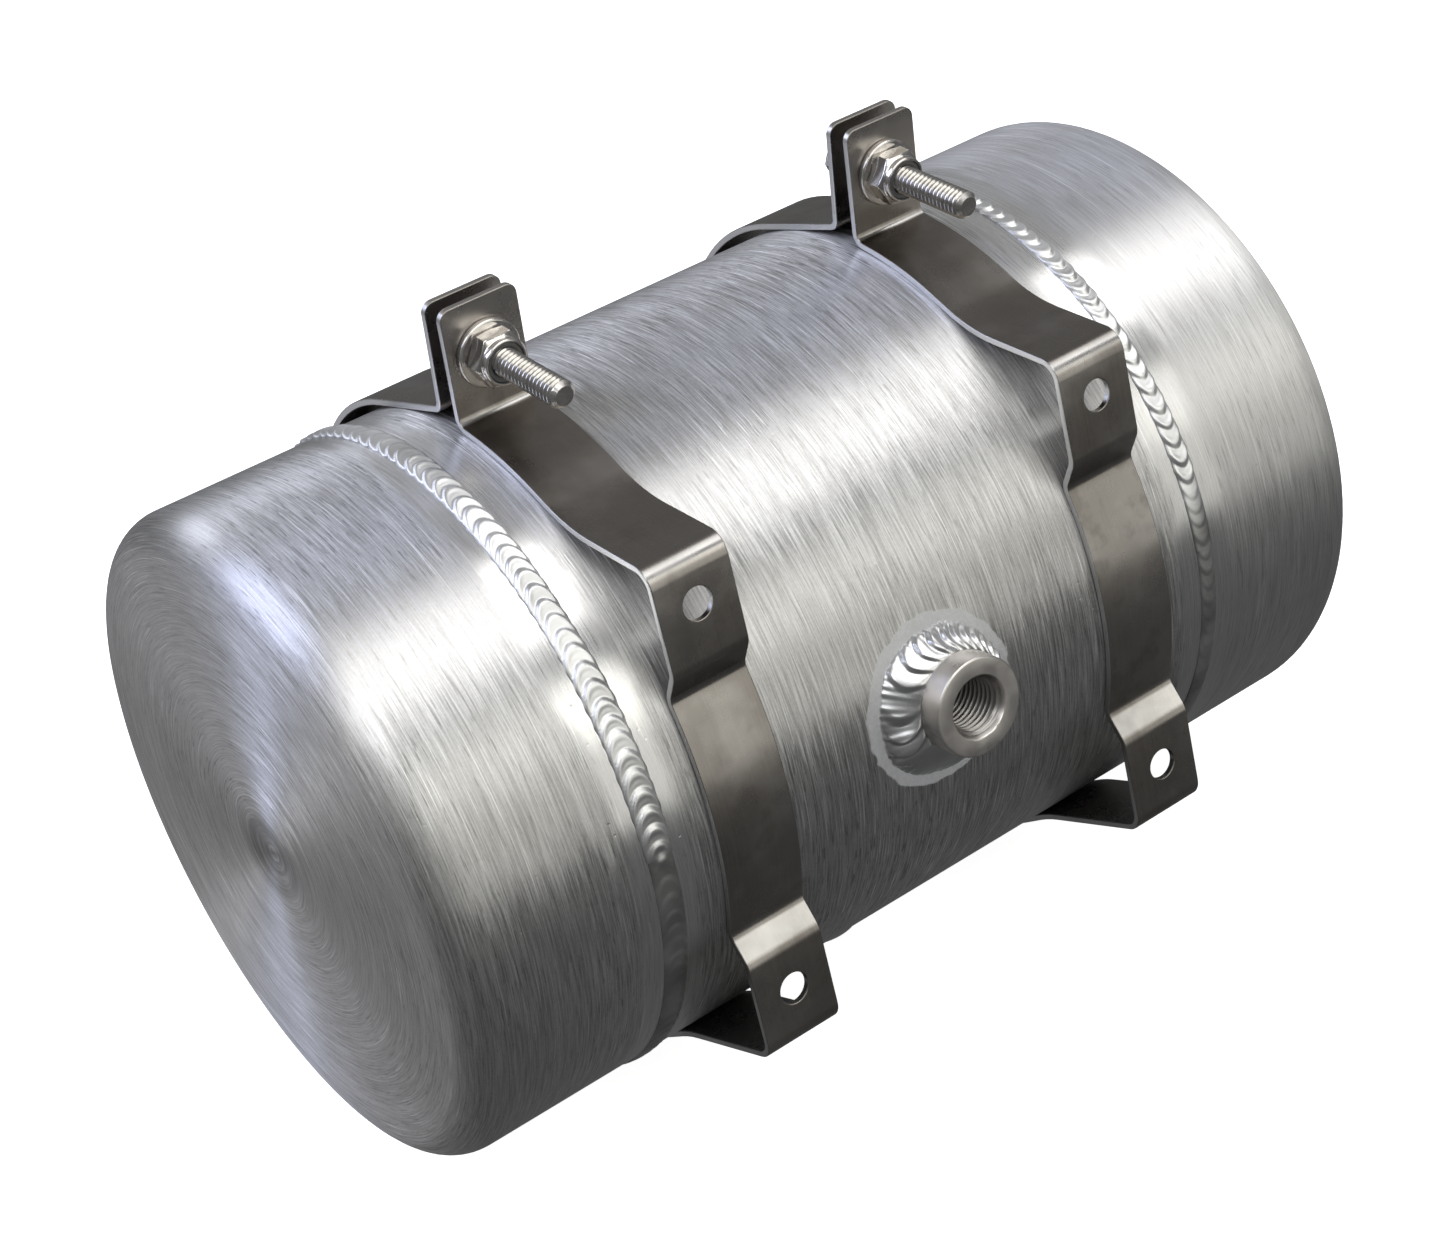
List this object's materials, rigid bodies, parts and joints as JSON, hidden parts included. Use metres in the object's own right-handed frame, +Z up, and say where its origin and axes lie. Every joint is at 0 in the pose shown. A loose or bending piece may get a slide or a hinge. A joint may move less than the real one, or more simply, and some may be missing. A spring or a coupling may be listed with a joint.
{
  "type": "hydraulic reservoir",
  "caption": "Small round spun-aluminium fluid reservoir with welded end cups and screwed ports, held by two bolted strap clamps with drilled feet.",
  "frame": {"origin": "middle of the rectangle of foot holes, on the outer face of the feet", "axes": "+X along the tank, -Y out of the front where the feet and the side port face, +Z up towards the clamp ears"},
  "size_m": [0.252, 0.1647, 0.1904],
  "materials": {
    "spun_aluminium": "satin, circumferential spinning and sanding lines",
    "weld_metal": "rippled as-welded aluminium",
    "machined_aluminium": "turned",
    "strap_stainless": "dull rolled stainless strip",
    "fastener_stainless": "bright stainless",
    "nylon": "nylon"
  },
  "bodies": {
    "clamps": {"left_clamp_strap": "strap_stainless", "right_clamp_strap": "strap_stainless", "left_clamp_bolt": "fastener_stainless", "right_clamp_bolt": "fastener_stainless", "left_rear_washer": "fastener_stainless", "right_rear_washer": "fastener_stainless"},
    "tank": {"barrel": "spun_aluminium", "left_end_cup": "spun_aluminium", "right_end_cup": "spun_aluminium", "left_girth_weld": "weld_metal", "right_girth_weld": "weld_metal", "front_port_bung": "machined_aluminium", "front_port_weld": "weld_metal", "bottom_port_bung": "machined_aluminium", "bottom_port_weld": "weld_metal"},
    "left_washer": {"left_front_washer": "fastener_stainless"},
    "left_nut": {"left_lock_nut": "fastener_stainless", "left_nylon_insert": "nylon"},
    "right_washer": {"right_front_washer": "fastener_stainless"},
    "right_nut": {"right_lock_nut": "fastener_stainless", "right_nylon_insert": "nylon"}
  },
  "joints": [
    {"name": "tank_turn", "type": "hinge", "parent": "clamps", "child": "tank", "pos_m": [0, 0.0765, -0.0012], "axis": [1, 0, 0], "continuous": true},
    {"name": "left_washer_slide", "type": "slide", "parent": "clamps", "child": "left_washer", "axis": [0, -0.9863, -0.165], "range_m": [0, 0.01778]},
    {"name": "left_nut_turn", "type": "hinge", "parent": "left_washer", "child": "left_nut", "pos_m": [-0.0535, 0.06349, 0.08947], "axis": [0, -0.9863, -0.165], "range_deg": [0, 5041]},
    {"name": "right_washer_slide", "type": "slide", "parent": "clamps", "child": "right_washer", "axis": [0, -0.9863, -0.165], "range_m": [0, 0.01778]},
    {"name": "right_nut_turn", "type": "hinge", "parent": "right_washer", "child": "right_nut", "pos_m": [0.0535, 0.06349, 0.08947], "axis": [0, -0.9863, -0.165], "range_deg": [0, 5041]}
  ],
  "couplings": [
    {"joint": "left_nut_turn", "follows": "left_washer_slide", "rad_per_m": 4947.4},
    {"joint": "right_nut_turn", "follows": "right_washer_slide", "rad_per_m": 4947.4}
  ]
}
